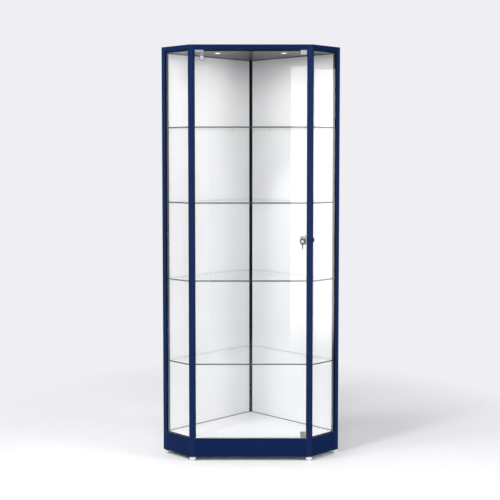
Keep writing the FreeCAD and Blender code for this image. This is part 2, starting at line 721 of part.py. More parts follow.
def make_lower_pivot():
    """The slim lower shoe with its collar and pin."""
    shoe_end = SHOE_START + SHOE_LENGTH
    shoe_bottom = DOOR_BOTTOM - SHOE_SHEET
    shoe = box(
        SHOE_START, shoe_end,
        DOOR_FRONT - SHOE_SHEET, DOOR_BACK + SHOE_SHEET,
        shoe_bottom, DOOR_BOTTOM + LOWER_SHOE_COVER,
    )
    glass_slot = box(
        SHOE_START - OVERRUN, shoe_end + OVERRUN,
        DOOR_FRONT, DOOR_BACK,
        DOOR_BOTTOM, DOOR_BOTTOM + LOWER_SHOE_COVER + OVERRUN,
    )
    axis = Vector(PIVOT_X, DOOR_MIDDLE, 0)
    collar = rod(COLLAR_RADIUS, axis + UP * (PLINTH_TOP + RUNNING_GAP), axis + UP * DOOR_BOTTOM)
    pin_bottom = PLINTH_TOP - PIVOT_BLOCK_HEIGHT + OVERRUN
    pin = rod(PIVOT_RADIUS, axis + UP * pin_bottom, axis + UP * DOOR_BOTTOM)
    save("hinge_bottom_shoe", joined(shoe.cut(glass_slot), collar, pin))


def make_pivot_blocks():
    """Steel blocks in the top rail and in the deck, each with the bore for a pivot pin."""
    start = PIVOT_X - PIVOT_INSET
    end = start + PIVOT_BLOCK_LENGTH
    front = PLINTH_SHEET + SEAT_GAP * 2
    back = front + PIVOT_BLOCK_WIDTH
    upper_bottom = RAIL_BOTTOM + PROFILE_WALL
    upper = box(start, end, front, back, upper_bottom, upper_bottom + PIVOT_BLOCK_HEIGHT)
    lower = box(start, end, front, back, PLINTH_TOP - PIVOT_BLOCK_HEIGHT, PLINTH_TOP)
    axis = Vector(PIVOT_X, DOOR_MIDDLE, 0)
    bore = rod(PIVOT_RADIUS + RUNNING_GAP, axis, axis + UP * OVERALL_HEIGHT)
    save("pivot_blocks", upper.cut(bore), lower.cut(bore))


# Strike clips and magnetic catches

def clip(width, low, high, edge_low, edge_high):
    """A folded clip over the free edge of the door, at the lock side's corner."""
    start = FITTING_EDGE - width
    body = box(start, FITTING_EDGE, DOOR_FRONT - CLIP_SHEET, DOOR_BACK + CLIP_SHEET, low, high)
    slot = box(start - OVERRUN, FITTING_EDGE + OVERRUN, DOOR_FRONT, DOOR_BACK, edge_low, edge_high)
    return body.cut(slot)


def make_clips_and_catches():
    """A strike clip on each free corner of the door, with a magnetic catch behind it."""
    upper_clip = clip(
        UPPER_CLIP_WIDTH, DOOR_TOP - UPPER_CLIP_HEIGHT, DOOR_TOP + CLIP_SHEET,
        DOOR_TOP - UPPER_CLIP_HEIGHT - OVERRUN, DOOR_TOP,
    )
    lower_clip = clip(
        LOWER_CLIP_WIDTH, DOOR_BOTTOM - CLIP_SHEET, DOOR_BOTTOM + LOWER_CLIP_HEIGHT,
        DOOR_BOTTOM, DOOR_BOTTOM + LOWER_CLIP_HEIGHT + OVERRUN,
    )
    catch_end = FITTING_EDGE - CLIP_SHEET
    catch_start = catch_end - CATCH_WIDTH
    catch_front = DOOR_BACK + CLIP_SHEET + SEAT_GAP
    catch_back = catch_front + CATCH_DEPTH
    upper_catch = box(
        catch_start, catch_end, catch_front, catch_back, CEILING_BOTTOM - CATCH_HEIGHT, CEILING_BOTTOM
    )
    lower_catch = box(
        catch_start, catch_end, catch_front, catch_back, PLINTH_TOP, PLINTH_TOP + CATCH_HEIGHT
    )
    save("strike_clips", upper_clip, lower_clip)
    save("magnetic_catches", upper_catch, lower_catch)


# Lock

def lock_rod(radius, front, back):
    """A round bar on the lock's axis."""
    return rod(radius, Vector(LOCK_X, front, LOCK_Z), Vector(LOCK_X, back, LOCK_Z))


def make_lock_case():
    """The case, with a flat beside the post, its barrel, the plate behind the glass and the clamp nut."""
    case_start = Vector(CASE_X, CASE_FRONT, LOCK_HEIGHT)
    case = rod(CASE_RADIUS, case_start, case_start + BACKWARD * CASE_THICKNESS)
    beyond_flat = box(
        FITTING_EDGE, CASE_X + CASE_RADIUS + OVERRUN,
        CASE_FRONT - OVERRUN, DOOR_FRONT + OVERRUN,
        LOCK_HEIGHT - CASE_RADIUS - OVERRUN, LOCK_HEIGHT + CASE_RADIUS + OVERRUN,
    )
    case = case.cut(beyond_flat)
    rim = [edge for edge in case.Edges if edge.BoundBox.YMax < CASE_FRONT + SEAT_GAP]
    case = case.makeFillet(CASE_ROUND, rim)
    barrel = lock_rod(BARREL_RADIUS, CASE_FRONT + CASE_ROUND, BARREL_END)
    bore = lock_rod(PLUG_RADIUS + RUNNING_GAP, CASE_FRONT - OVERRUN, BARREL_END + OVERRUN)
    back_plate = lock_rod(BACK_PLATE_RADIUS, DOOR_BACK, BACK_PLATE_BACK)
    back_plate = back_plate.cut(lock_rod(BARREL_RADIUS, DOOR_BACK - OVERRUN, BACK_PLATE_BACK + OVERRUN))
    ring_nut = lock_rod(RING_NUT_RADIUS, BACK_PLATE_BACK, BARREL_END)
    ring_nut = ring_nut.cut(lock_rod(BARREL_RADIUS, BACK_PLATE_BACK - OVERRUN, BARREL_END + OVERRUN))
    save("lock_case", joined(case, barrel).cut(bore))
    save("lock_back_plate", back_plate)
    save("lock_ring_nut", ring_nut)


def centred_box(width, front, back, low, high):
    """A box centred across the lock's axis, between two depths and two levels."""
    return box(LOCK_X - width / 2, LOCK_X + width / 2, front, back, low, high)


def make_plug_and_cam():
    """The turning plug with its keyway and tail, and the cam on the tail."""
    head = lock_rod(PLUG_HEAD_RADIUS, PLUG_FRONT, PLUG_FRONT + PLUG_HEAD_THICKNESS)
    body = lock_rod(PLUG_RADIUS, PLUG_FRONT, CAM_FRONT)
    half_tail = PLUG_TAIL_SIDE / 2
    tail = centred_box(PLUG_TAIL_SIDE, PLUG_FRONT, CAM_TAIL_END, LOCK_Z - half_tail, LOCK_Z + half_tail)
    keyway_low = LOCK_Z - KEYWAY_HEIGHT / 2
    keyway = centred_box(
        KEYWAY_WIDTH, PLUG_FRONT - OVERRUN, PLUG_FRONT + KEYWAY_DEPTH, keyway_low, keyway_low + KEYWAY_HEIGHT
    )
    half_cam = CAM_WIDTH / 2
    cam_back = CAM_FRONT + CAM_THICKNESS
    tip_drop = CAM_LENGTH - half_cam
    arm = centred_box(CAM_WIDTH, CAM_FRONT, cam_back, LOCK_Z - tip_drop, LOCK_Z)
    root_end = lock_rod(half_cam, CAM_FRONT, CAM_TAIL_END)
    tip_end = lock_rod(half_cam, CAM_FRONT, cam_back)
    tip_end.translate(-UP * tip_drop)
    save("lock_plug", joined(head, body, tail).cut(keyway))
    save("lock_cam", joined(arm, root_end, tip_end).cut(tail))


def make_keeper():
    """The keeper behind the right front post, which the cam turns in behind."""
    low = LOCK_Z - KEEPER_BELOW
    high = LOCK_Z + KEEPER_ABOVE
    lip = box(FRONT_X - KEEPER_LIP, FRONT_X + KEEPER_SPREAD, FRAME_DEPTH - OVERRUN, KEEPER_BACK, low, high)
    tab_front = SIDE_GLASS_RECESS + SIDE_GLASS_THICKNESS + GASKET_WALL + KEEPER_TAB_GAP
    tab_back = tab_front + KEEPER_TAB_THICKNESS
    round_x = FRONT_POST_RETURN + KEEPER_TAB_LENGTH - KEEPER_TAB_RADIUS
    tab_low = LOCK_HEIGHT - KEEPER_TAB_RADIUS
    tab_high = LOCK_HEIGHT + KEEPER_TAB_RADIUS
    strap = box(FRONT_POST_RETURN, round_x, tab_front, tab_back, tab_low, tab_high)
    round_start = Vector(round_x, tab_front, LOCK_HEIGHT)
    round_end = rod(KEEPER_TAB_RADIUS, round_start, round_start + BACKWARD * KEEPER_TAB_THICKNESS)
    tab = on_side(joined(strap, round_end))
    room = on_side(box(0, SIDE_PANEL / 2, 0, tab_front, low - OVERRUN, high + OVERRUN))
    keeper = joined(lip.cut(room), tab).cut(prism(FRONT_POST_OUTLINE, 0, OVERALL_HEIGHT))
    save("lock_keeper", keeper)


# Keys

def make_key():
    """The key in the plug: a blade, and a round bow that stands upright, edge on to the viewer."""
    half_blade = BLADE_HEIGHT / 2
    blade = centred_box(
        BLADE_THICKNESS, BOW_Y, PLUG_FRONT + BLADE_LENGTH, LOCK_Z - half_blade, LOCK_Z + half_blade
    )
    half_bow = ACROSS * (BOW_THICKNESS / 2)
    centre = Vector(LOCK_X, BOW_Y, LOCK_Z)
    bow = rod(BOW_RADIUS, centre - half_bow, centre + half_bow)
    hole_centre = Vector(LOCK_X, RING_Y, LOCK_Z)
    hole = rod(BOW_HOLE_RADIUS, hole_centre - half_bow * 2, hole_centre + half_bow * 2)
    save("key", joined(blade, bow).cut(hole))


def make_ring_and_spare():
    """The key ring that hangs in the key's bow, and the spare key that hangs on the ring."""
    ring = Part.makeTorus(RING_RADIUS, RING_WIRE_RADIUS, Vector(LOCK_X, RING_Y, RING_Z), BACKWARD)
    half_thick = ACROSS * (SPARE_THICKNESS / 2)
    centre = Vector(LOCK_X, RING_Y, SPARE_BOW_Z)
    bow = rod(SPARE_BOW_RADIUS, centre - half_thick, centre + half_thick)
    half_width = SPARE_BLADE_WIDTH / 2
    blade_end = SPARE_BOW_Z - SPARE_BOW_RADIUS - SPARE_BLADE_LENGTH
    blade = centred_box(SPARE_THICKNESS, RING_Y - half_width, RING_Y + half_width, blade_end, SPARE_BOW_Z)
    hole_centre = Vector(LOCK_X, RING_Y, SPARE_HOLE_Z)
    hole = rod(BOW_HOLE_RADIUS, hole_centre - half_thick * 2, hole_centre + half_thick * 2)
    save("key_ring", ring)
    save("spare_key", joined(blade, bow).cut(hole))


# Levelling feet

def middle_of(points):
    """The centre of area of a plan outline."""
    return Part.Face(Part.makePolygon(points + points[:1])).CenterOfMass


def hexagon(radius, centre):
    """The plan outline of a nut."""
    points = []
    for index in range(FOOT_NUT_SIDES):
        angle = 2 * math.pi * index / FOOT_NUT_SIDES
        points.append(centre + Vector(radius * math.cos(angle), radius * math.sin(angle), 0))
    return points


def foot(centre):
    """A round levelling foot: its base, its nut and the stem that goes up into the post."""
    profile = [
        (0, 0),
        (FOOT_RADIUS - FOOT_BASE_ROUND / 3, 0),
        (FOOT_RADIUS, FOOT_BASE_ROUND / 3),
        (FOOT_RADIUS, FOOT_BASE_HEIGHT - FOOT_BASE_ROUND),
        (FOOT_RADIUS - FOOT_BASE_ROUND / 2, FOOT_BASE_HEIGHT - FOOT_BASE_ROUND / 3),
        (FOOT_RADIUS - FOOT_BASE_ROUND, FOOT_BASE_HEIGHT),
        (0, FOOT_BASE_HEIGHT),
    ]
    base = turned(profile, centre)
    nut = prism(hexagon(FOOT_NUT_RADIUS, centre), FOOT_BASE_HEIGHT, FOOT_HEIGHT - SEAT_GAP)
    stem = rod(STEM_RADIUS, centre + UP * FOOT_BASE_HEIGHT, centre + UP * (FOOT_HEIGHT + STEM_LENGTH))
    return joined(base, nut, stem)


def make_feet():
    """Five feet, and the threaded inserts that hold their stems."""
    front_centre = middle_of(FRONT_POST_OUTLINE)
    outer_centre = middle_of(OUTER_POST_OUTLINE)
    rear_centre = wall_point(WALL_SIDE - REAR_FOOT_INSET, REAR_FOOT_INSET)
    save_pair("foot_front", foot(front_centre))
    save_pair("foot_outer", foot(outer_centre))
    save("foot_rear", foot(rear_centre))
    inserts = []
    insert_top = FOOT_HEIGHT + INSERT_HEIGHT
    for points, centre in ((FRONT_POST_OUTLINE, front_centre), (OUTER_POST_OUTLINE, outer_centre)):
        hole = rod(STEM_RADIUS + RUNNING_GAP, centre, centre + UP * OVERALL_HEIGHT)
        plug = prism(drawn_in(points, PROFILE_WALL), FOOT_HEIGHT, insert_top).cut(hole)
        inserts += [plug, mirrored(plug)]
    rear_hole = rod(STEM_RADIUS + RUNNING_GAP, rear_centre, rear_centre + UP * OVERALL_HEIGHT)
    rear_bottom = FOOT_HEIGHT + PLINTH_SHEET
    reach = WALL_SIDE - REAR_BLOCK_REACH
    block = on_wall(box(
        reach, WALL_SIDE - PLINTH_SHEET,
        PLINTH_SHEET, REAR_BLOCK_REACH,
        rear_bottom, rear_bottom + INSERT_HEIGHT,
    ))
    block = block.cut(prism(REAR_POST_OUTLINE, 0, OVERALL_HEIGHT)).cut(rear_hole)
    save("foot_inserts", *inserts, block)


# Downlights and their supply

def lamp_centres():
    """The middle of each downlight, on the underside of the ceiling."""
    return [Vector(side * LAMP_SPREAD, LAMP_BACK, CEILING_BOTTOM) for side in (-1, 1)]


def make_downlights():
    """Two downlights, each a bezel with a sleeve, a lens and a housing above it."""
    bezels = []
    lenses = []
    housings = []
    bezel_profile = [
        (LENS_RADIUS, -BEZEL_DROP),
        (BEZEL_RADIUS - BEZEL_SLOPE, -BEZEL_DROP),
        (BEZEL_RADIUS, 0),
        (SLEEVE_RADIUS, 0),
        (SLEEVE_RADIUS, SLEEVE_HEIGHT),
        (SLEEVE_RADIUS - SLEEVE_WALL, SLEEVE_HEIGHT),
        (SLEEVE_RADIUS - SLEEVE_WALL, 0),
        (LENS_RADIUS, 0),
    ]
    lens_bottom = UP * (LENS_RECESS - BEZEL_DROP)
    for centre in lamp_centres():
        bezels.append(turned(bezel_profile, centre))
        lenses.append(rod(LENS_RADIUS, centre + lens_bottom, centre + lens_bottom + UP * LENS_THICKNESS))
        body = rod(LENS_RADIUS, centre + lens_bottom + UP * LENS_THICKNESS, centre + UP * SEAT_GAP)
        head = rod(SLEEVE_RADIUS - SLEEVE_WALL, centre, centre + UP * HOUSING_HEIGHT)
        housings.append(joined(body, head))
    save("downlight_bezels", *bezels)
    save("downlight_lenses", *lenses)
    save("downlight_housings", *housings)


def make_supply():
    """The driver on the ceiling, the inlet in the right back rail and the leads between them."""
    half_length = DRIVER_LENGTH / 2
    half_width = DRIVER_WIDTH / 2
    driver = box(
        -half_length, half_length,
        DRIVER_BACK - half_width, DRIVER_BACK + half_width,
        CEILING_TOP, CEILING_TOP + DRIVER_HEIGHT,
    )
    flange = rod(INLET_FLANGE_RADIUS, inlet_axis_point(0), inlet_axis_point(INLET_FLANGE_THICKNESS))
    body = rod(INLET_RADIUS, inlet_axis_point(0), inlet_axis_point(INLET_LENGTH))
    bore = rod(INLET_BORE_RADIUS, inlet_axis_point(-OVERRUN), inlet_axis_point(INLET_BORE_DEPTH))
    inlet = on_wall(joined(flange, body).cut(bore))
    lead_level = UP * (CEILING_BOTTOM + SLEEVE_HEIGHT + SEAT_GAP + LEAD_RADIUS)
    leads = []
    for centre in lamp_centres():
        side = math.copysign(half_length, centre.x)
        driver_end = Vector(side, DRIVER_BACK - half_width, 0) + lead_level
        lamp_end = Vector(centre.x, centre.y, 0) + lead_level
        housing = rod(SLEEVE_RADIUS - SLEEVE_WALL, centre, centre + UP * HOUSING_HEIGHT)
        leads.append(rod(LEAD_RADIUS, driver_end, lamp_end).cut(driver).cut(housing))
    inlet_plan = wall_point(WALL_SIDE * INLET_PLACE_SHARE, INLET_LENGTH)
    inlet_end = Vector(inlet_plan.x, inlet_plan.y, (RAIL_BOTTOM + COVER_BOTTOM) / 2)
    driver_corner = Vector(half_length, DRIVER_BACK + half_width, 0) + lead_level
    leads.append(rod(LEAD_RADIUS, driver_corner, inlet_end).cut(driver).cut(inlet))
    save("led_driver", driver)
    save("power_inlet", inlet)
    save("lamp_leads", *leads)


# Build

os.makedirs("parts", exist_ok=True)
make_posts()
make_rails()
make_plinth()
make_boards()
make_cover()
make_glass_sides()
make_shelves()
make_door_glass()
make_seals()
make_upper_pivot()
make_lower_pivot()
make_pivot_blocks()
make_clips_and_catches()
make_lock_case()
make_plug_and_cam()
make_keeper()
make_key()
make_ring_and_spare()
make_feet()
make_downlights()
make_supply()
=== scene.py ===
import bmesh
import bpy
import json
import math
from mathutils import Matrix, Vector


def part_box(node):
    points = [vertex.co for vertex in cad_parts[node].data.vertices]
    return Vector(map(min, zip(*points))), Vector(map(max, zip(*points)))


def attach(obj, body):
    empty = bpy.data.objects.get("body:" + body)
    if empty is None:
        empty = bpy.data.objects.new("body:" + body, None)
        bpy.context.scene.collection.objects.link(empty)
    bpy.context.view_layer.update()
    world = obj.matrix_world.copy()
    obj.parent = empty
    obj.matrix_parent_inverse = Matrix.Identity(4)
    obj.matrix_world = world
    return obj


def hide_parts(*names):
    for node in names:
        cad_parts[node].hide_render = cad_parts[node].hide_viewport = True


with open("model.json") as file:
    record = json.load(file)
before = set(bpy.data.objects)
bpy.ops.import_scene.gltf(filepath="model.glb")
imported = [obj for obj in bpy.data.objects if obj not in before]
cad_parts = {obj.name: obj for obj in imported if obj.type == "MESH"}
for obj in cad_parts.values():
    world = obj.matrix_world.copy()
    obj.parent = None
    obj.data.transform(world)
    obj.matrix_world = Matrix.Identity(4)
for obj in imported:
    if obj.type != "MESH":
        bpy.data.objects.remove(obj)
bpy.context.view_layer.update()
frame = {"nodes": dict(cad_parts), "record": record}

nodes = frame["nodes"]
MM = 0.001

# Camera: the photograph's distance, height and frame

CAMERA_PLACE = (0, -5.3185, 1.4547)
CAMERA_DROP = math.radians(3.826)
CAMERA_LENS = 77.04
CAMERA_SHIFT = (-0.0016, -0.043)

eye = bpy.data.cameras.new("photo_camera")
eye.lens = CAMERA_LENS
eye.shift_x, eye.shift_y = CAMERA_SHIFT
camera = bpy.data.objects.new("photo_camera", eye)
camera.location = CAMERA_PLACE
camera.rotation_euler = (math.radians(90) - CAMERA_DROP, 0, 0)
bpy.context.scene.collection.objects.link(camera)
bpy.context.scene.camera = camera
bpy.context.scene.view_settings.view_transform = "Standard"


# Finishes

# Widths of their patterns, in millimetres. The finest ones show only from close by.
COAT_PATCH = 90
ORANGE_PEEL = 1.6
BOARD_PATCH = 150
BOARD_PEARL = 0.8
ROLLER_WAVE = 250
WHEEL_MARK = 1.2
BRUSH_MARK = 0.5
LENS_RIPPLE = 3
CLEAR_GRAIN = 1

# The part of a pattern's range that is spread over the whole range of roughness
GRAIN_LOW = 0.3
GRAIN_HIGH = 0.7

# Roughness of a pane where its waves are strongest
PANE_HAZE = 0.004


def linear(colour):
    """An sRGB hex colour as linear red, green and blue with an alpha of 1."""
    levels = [int(colour[start:start + 2], 16) / 255 for start in (0, 2, 4)]
    return [v / 12.92 if v <= 0.04045 else ((v + 0.055) / 1.055) ** 2.4 for v in levels] + [1]


def add(tree, kind, inputs=(), **settings):
    """Adds one shader node with its settings, plain values and links."""
    made = tree.nodes.new("ShaderNode" + kind)
    for name, value in settings.items():
        setattr(made, name, value)
    for name, value in dict(inputs).items():
        if isinstance(value, bpy.types.NodeSocket):
            tree.links.new(value, made.inputs[name])
        else:
            made.inputs[name].default_value = value
    return made


def start_finish(name, **values):
    """A new material whose main shader has these plain values, with its tree and object coordinates."""
    material = bpy.data.materials.new(name)
    material.use_nodes = True
    tree = material.node_tree
    shader = tree.nodes["Principled BSDF"]
    for socket, value in values.items():
        shader.inputs[socket.replace("_", " ")].default_value = value
    return material, tree, shader, add(tree, "TexCoord").outputs["Object"]


def dressed(tree, shader, cloud, grain, colours, roughness, relief):
    """Colour from a broad pattern, roughness and relief from a fine one.

    Relief is a strength and a depth in millimetres.
    """
    colour = add(tree, "Mix", {0: cloud, 6: linear(colours[0]), 7: linear(colours[1])}, data_type="RGBA")
    rough = add(tree, "MapRange", {0: grain, 1: GRAIN_LOW, 2: GRAIN_HIGH, 3: roughness[0], 4: roughness[1]})
    bump = add(tree, "Bump", {"Height": grain, "Strength": relief[0], "Distance": relief[1] * MM})
    tree.links.new(colour.outputs[2], shader.inputs["Base Color"])
    tree.links.new(rough.outputs[0], shader.inputs["Roughness"])
    tree.links.new(bump.outputs[0], shader.inputs["Normal"])


def powder_coat(name, deep, light, gloss):
    """Polyester powder coat, baked: an even satin skin with faint orange peel, lighter where thick."""
    material, tree, shader, place = start_finish(name, Specular_IOR_Level=gloss)
    cloud = add(tree, "TexNoise", {"Vector": place, "Scale": 1 / (COAT_PATCH * MM), "Detail": 2}).outputs[0]
    grain = add(tree, "TexNoise", {"Vector": place, "Scale": 1 / (ORANGE_PEEL * MM), "Detail": 3}).outputs[0]
    dressed(tree, shader, cloud, grain, (deep, light), roughness=(0.34, 0.44), relief=(0.25, 0.05))
    return material


def faced_board(name, deep, light, roughness):
    """Melamine-faced board, pressed: a flat skin with a fine pearl texture and a low sheen."""
    material, tree, shader, place = start_finish(name)
    cloud = add(tree, "TexNoise", {"Vector": place, "Scale": 1 / (BOARD_PATCH * MM), "Detail": 2}).outputs[0]
    grain = add(tree, "TexVoronoi", {"Vector": place, "Scale": 1 / (BOARD_PEARL * MM)}).outputs[0]
    dressed(tree, shader, cloud, grain, (deep, light), roughness, relief=(0.15, 0.03))
    return material


def clear_for_light(tree, shader, cast):
    """Lets lamps and bounced light through a see-through finish, with the cast that it gives them."""
    rays = add(tree, "LightPath").outputs
    for_light = add(tree, "Math", {0: rays["Is Shadow Ray"], 1: rays["Is Diffuse Ray"]}, operation="MAXIMUM")
    clear = add(tree, "BsdfTransparent", {"Color": linear(cast)})
    mix = add(tree, "MixShader", {0: for_light.outputs[0], 1: shader.outputs[0], 2: clear.outputs[0]})
    tree.links.new(mix.outputs[0], tree.nodes["Material Output"].inputs["Surface"])


def float_glass(name, tint, cast):
    """Toughened float glass, fire polished: clear and glossy, with the faint waves of furnace rollers."""
    material, tree, shader, place = start_finish(name, IOR=1.5, Transmission_Weight=1)
    shader.inputs["Base Color"].default_value = linear(tint)
    waves = add(tree, "TexNoise", {"Vector": place, "Scale": 1 / (ROLLER_WAVE * MM), "Detail": 1}).outputs[0]
    haze = add(tree, "MapRange", {0: waves, 1: GRAIN_LOW, 2: GRAIN_HIGH, 3: 0.0, 4: PANE_HAZE})
    tree.links.new(haze.outputs[0], shader.inputs["Roughness"])
    clear_for_light(tree, shader, cast)
    return material


def glass_edge(name, deep, light, seen_through):
    """Ground and polished glass edge: grey-green from the pane's depth, with faint marks of the wheel."""
    material, tree, shader, place = start_finish(name, IOR=1.5, Transmission_Weight=seen_through)
    marks = add(tree, "TexNoise", {"Vector": place, "Scale": 1 / (WHEEL_MARK * MM), "Detail": 2}).outputs[0]
    dressed(tree, shader, marks, marks, (deep, light), roughness=(0.12, 0.22), relief=(0.05, 0.02))
    return material


def polymer(name, deep, light, roughness, grit, gloss=0.5):
    """A moulded or extruded polymer: one colour, with the tool's grain, drawn coarse enough to show."""
    material, tree, shader, place = start_finish(name, Specular_IOR_Level=gloss)
    grain = add(tree, "TexNoise", {"Vector": place, "Scale": 1 / (grit * MM), "Detail": 4}).outputs[0]
    dressed(tree, shader, grain, grain, (deep, light), roughness, relief=(0.2, 0.05))
    return material


def metal(name, deep, light, roughness, stretch=(1, 1, 1)):
    """A metal surface whose fine scratches run along the axis with the lowest stretch."""
    material, tree, shader, place = start_finish(name, Metallic=1)
    along = add(tree, "Mapping", {"Vector": place, "Scale": stretch}).outputs[0]
    brush = add(tree, "TexNoise", {"Vector": along, "Scale": 1 / (BRUSH_MARK * MM), "Detail": 4}).outputs[0]
    dressed(tree, shader, brush, brush, (deep, light), roughness, relief=(0.1, 0.02))
    return material


# Coated steel: deep blue, a little paler on the posts than on the sheets as a painted highlight, and a black
# lacquer
navy = powder_coat("navy_powder_coat", "071C43", "0C214A", gloss=0.06)
navy_painted_highlight = powder_coat("navy_coat_painted_highlight", "0D2148", "12264F", gloss=0.08)
black_steel = powder_coat("black_lacquered_steel", "070B16", "0B101C", gloss=0.08)

# Boards: soft even white walls, and a grey ceiling with a clearer sheen
white = faced_board("white_melamine", "E7E7E9", "EDEDEF", (0.42, 0.5))
grey = faced_board("grey_laminate", "292E3A", "313643", (0.26, 0.32))

# Glass: clear panes, shelves with a trace of green, and edges that look dark where light runs along them,
# with a paler copy at the back as painted light
glass = float_glass("clear_float_glass", "FEFEFE", "FEFEFE")
shelf_glass = float_glass("shelf_float_glass", "F9FCFA", "FDFEFD")
polished_edge = glass_edge("polished_glass_edge", "3C4A45", "4A5852", seen_through=0.35)
# Painted light: a paler copy of the glass edge for edges that face the rear
rear_edge_painted_light = glass_edge("rear_glass_edge_painted_light", "9FABA6", "AEB9B4", seen_through=0.5)

# Polymers and paint: dull blacks with hardly any gloss, and whites and greys with a soft sheen
rubber = polymer("epdm_rubber", "07080D", "0E0F16", (0.55, 0.7), grit=0.7, gloss=0.05)
black_abs = polymer("black_abs", "060708", "0B0C0E", (0.55, 0.65), grit=0.9, gloss=0.02)
white_abs = polymer("white_abs", "E6E6E4", "EEEEEC", (0.25, 0.35), grit=0.9)
nylon = polymer("white_nylon", "D8D8D8", "E2E2E2", (0.3, 0.4), grit=1.2)
painted_zinc = polymer("painted_zinc_casting", "8E9093", "989A9D", (0.35, 0.45), grit=1.0)
grey_nylon = polymer("grey_nylon", "55575A", "606265", (0.4, 0.5), grit=1.2, gloss=0.3)
sealant = polymer("black_sealant", "0A0B0E", "14151A", (0.45, 0.55), grit=2.0, gloss=0.05)

# Metals: satin rather than mirror bright, with brush marks only where the real part is drawn or brushed
satin = metal("satin_anodised_aluminium", "5D6874", "6E7985", (0.32, 0.45), stretch=(1, 1, 0.02))
chrome = metal("satin_chrome_plate", "D4D0CC", "DEDAD6", (0.32, 0.4))
nickel = metal("matt_nickel_plate", "E2E2DE", "ECECE8", (0.5, 0.6))
# Painted shade: a darker copy of the case's metal for its side next to the post
zinc_painted_shade = metal("zinc_casting_painted_shade", "8F8A85", "9A9590", (0.3, 0.4))
steel = metal("brushed_stainless_steel", "CCCCCA", "DADAD8", (0.4, 0.5), stretch=(0.05, 1, 1))
# Painted shade: a dark steel for the ring and key, for the shade they throw and sit in
steel_painted_shade = metal("nickel_steel_painted_shade", "2E2B27", "3E3A35", (0.3, 0.42), stretch=(1, 1, 0.1))

# Moulded polycarbonate of the shelf supports: milky clear, so they nearly vanish
clear_plastic, clear_tree, clear_shader, clear_place = start_finish(
    "clear_polycarbonate", IOR=1.58, Transmission_Weight=0.12
)
clear_grain = add(
    clear_tree, "TexNoise", {"Vector": clear_place, "Scale": 1 / (CLEAR_GRAIN * MM)}
).outputs[0]
dressed(
    clear_tree, clear_shader, clear_grain, clear_grain, ("F2F4F4", "FAFBFB"),
    roughness=(0.05, 0.15), relief=(0.05, 0.02),
)
clear_for_light(clear_tree, clear_shader, "F4F6F6")

# Frosted acrylic lens of a lit lamp: a warm white glow with faint ripples
LENS_GLOW = 2.2
lens_material, lens_tree, lens_shader, lens_place = start_finish(
    "frosted_lamp_lens", Emission_Strength=LENS_GLOW
)
lens_ripples = add(
    lens_tree, "TexVoronoi", {"Vector": lens_place, "Scale": 1 / (LENS_RIPPLE * MM)}
).outputs[0]
dressed(
    lens_tree, lens_shader, lens_ripples, lens_ripples, ("FFFDF8", "F6F4EE"),
    roughness=(0.35, 0.45), relief=(0.1, 0.05),
)
lens_glow = add(
    lens_tree, "Mix", {0: lens_ripples, 6: linear("FFFBF0"), 7: linear("FFF6E4")}, data_type="RGBA"
).outputs[2]
lens_tree.links.new(lens_glow, lens_shader.inputs["Emission Color"])

FINISHES = {
    "navy_paint": navy,
    "white_board": white,
    "grey_board": grey,
    "clear_glass": glass,
    "shelf_glass": shelf_glass,
    "black_rubber": rubber,
    "black_plastic": black_abs,
    "white_plastic": white_abs,
    "clear_plastic": clear_plastic,
    "satin_aluminium": satin,
    "chrome": chrome,
    "steel": steel,
    "black_steel": black_steel,
    "lamp_lens": lens_material,
}
# The posts take the paler copy of the blue, a painted highlight
POSTS = ("front_post_left", "front_post_right", "outer_post_left", "outer_post_right", "rear_post")
slots = {subpart["node"]: subpart["material_slot"] for subpart in frame["record"]["subparts"]}
for node, solid in nodes.items():
    for slot in solid.material_slots:
        slot.material = navy_painted_highlight if node in POSTS else FINISHES[slots[node]]


# Sizes from the source, in millimetres from the front face

ROW_MIDDLE = 269.846
DIAGONAL_SHARE = math.sqrt(0.5)
WALL_SIDE = 608.0
SIDE_PANEL = 200.0
OUTER_X = WALL_SIDE * DIAGONAL_SHARE
OUTER_Y = SIDE_PANEL * DIAGONAL_SHARE
WALL_DEPTH = 18.0
DECK_TOP = 110.0
CEILING_BOTTOM = 1952.0
DOOR_FRONT = 4.0
CAP_PLACE = (-229.0, 1916.0)
LOCK_PLACE = (244.6, 1069.5)
CASE_FRONT = -6.0
RING_PLACE = (244.6, -24.15, 1057.01)
LAMP_PLACES = ((-158.0, 131.0), (158.0, 131.0))


def at(x, y, z):
    """A point of the source, in metres in the row frame."""
    return Vector((x, y - ROW_MIDDLE, z)) * MM


# Shaping

# Vertices of a solid nearer than this are joined, and those at the poles and seam of a round shape
MERGE_GAP = 0.005
POLE_GAP = 0.002

# Faces that meet below this many degrees are one flat face
FLAT_ANGLE = 0.5

# Edges above this many degrees are rounded, in this many steps
EASED_FROM = 35
EASING_STEPS = 2

# Edges above this many degrees stay sharp in the shading: coated sheets, other eased pieces, round pieces
SHEET_CORNER = 5
FLAT_CORNER = 20
ROUND_CORNER = 35

# Half the width of the zone round a level in which a vertex counts as lying at it
LEVEL_ZONE = 0.5


def merged_copy(node):
    """A node's mesh with its loose triangles joined and its flat faces made whole."""
    shape = bmesh.new()
    shape.from_mesh(nodes[node].data)
    bmesh.ops.remove_doubles(shape, verts=shape.verts, dist=MERGE_GAP * MM)
    bmesh.ops.dissolve_limit(
        shape, angle_limit=math.radians(FLAT_ANGLE), verts=shape.verts, edges=shape.edges
    )
    for face in shape.faces:
        face.material_index = 0
    return shape


def eased(shape, width):
    """Rounds the shape's sharp edges."""
    sharp_angle = math.radians(EASED_FROM)
    sharp = [edge for edge in shape.edges if edge.is_manifold and edge.calc_face_angle() > sharp_angle]
    bmesh.ops.bevel(
        shape, geom=sharp, offset=width * MM, offset_type="OFFSET", affect="EDGES",
        segments=EASING_STEPS, profile=0.5, material=-1, clamp_overlap=True,
    )
    return shape


